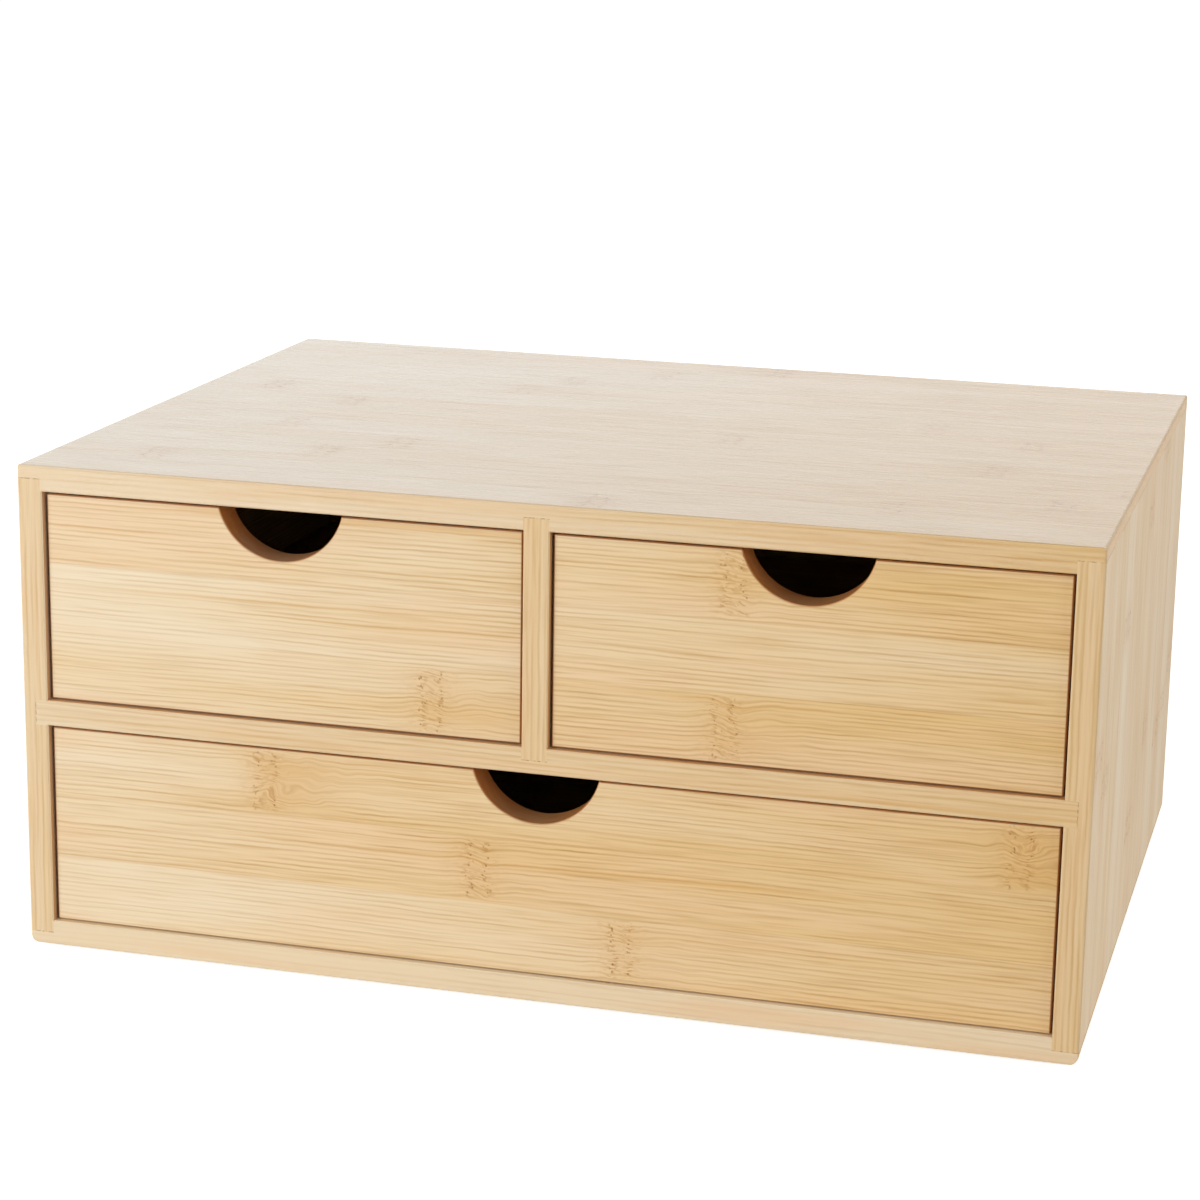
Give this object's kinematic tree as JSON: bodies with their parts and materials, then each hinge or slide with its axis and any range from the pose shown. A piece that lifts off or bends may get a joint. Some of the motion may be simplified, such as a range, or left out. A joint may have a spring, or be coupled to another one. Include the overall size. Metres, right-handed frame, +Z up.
{
  "type": "desktop mini drawers",
  "caption": "Low bamboo desktop case with small drawers side by side over a full-width drawer, each with a half-round finger pull cut into its front.",
  "frame": {"origin": "middle of the footprint, on the plane that the pads stand on", "axes": "+X to the right seen from the front, +Y to the back, +Z up; the drawers open along -Y"},
  "size_m": [0.33, 0.245, 0.1555],
  "materials": {
    "bamboo_case": "satin lacquered bamboo board",
    "bamboo_front": "satin lacquered bamboo board",
    "bamboo_drawer_box": "sanded bamboo board",
    "bamboo_sheet": "sanded thin bamboo sheet",
    "pad_rubber": "matte soft rubber"
  },
  "bodies": {
    "case": {"top_panel": "bamboo_case", "bottom_panel": "bamboo_case", "left_side": "bamboo_case", "right_side": "bamboo_case", "middle_shelf": "bamboo_case", "centre_divider": "bamboo_case", "back_panel": "bamboo_sheet", "pad_front_left": "pad_rubber", "pad_front_right": "pad_rubber", "pad_rear_left": "pad_rubber", "pad_rear_right": "pad_rubber"},
    "left_drawer": {"left_drawer_front": "bamboo_front", "left_drawer_left_side": "bamboo_drawer_box", "left_drawer_right_side": "bamboo_drawer_box", "left_drawer_rear": "bamboo_drawer_box", "left_drawer_bottom": "bamboo_sheet"},
    "right_drawer": {"right_drawer_front": "bamboo_front", "right_drawer_left_side": "bamboo_drawer_box", "right_drawer_right_side": "bamboo_drawer_box", "right_drawer_rear": "bamboo_drawer_box", "right_drawer_bottom": "bamboo_sheet"},
    "bottom_drawer": {"bottom_drawer_front": "bamboo_front", "bottom_drawer_left_side": "bamboo_drawer_box", "bottom_drawer_right_side": "bamboo_drawer_box", "bottom_drawer_rear": "bamboo_drawer_box", "bottom_drawer_bottom": "bamboo_sheet"}
  },
  "joints": [
    {"name": "left_drawer_slide", "type": "slide", "parent": "case", "child": "left_drawer", "axis": [0, -1, 0], "range_m": [0, 0.17]},
    {"name": "right_drawer_slide", "type": "slide", "parent": "case", "child": "right_drawer", "axis": [0, -1, 0], "range_m": [0, 0.17]},
    {"name": "bottom_drawer_slide", "type": "slide", "parent": "case", "child": "bottom_drawer", "axis": [0, -1, 0], "range_m": [0, 0.17]}
  ]
}
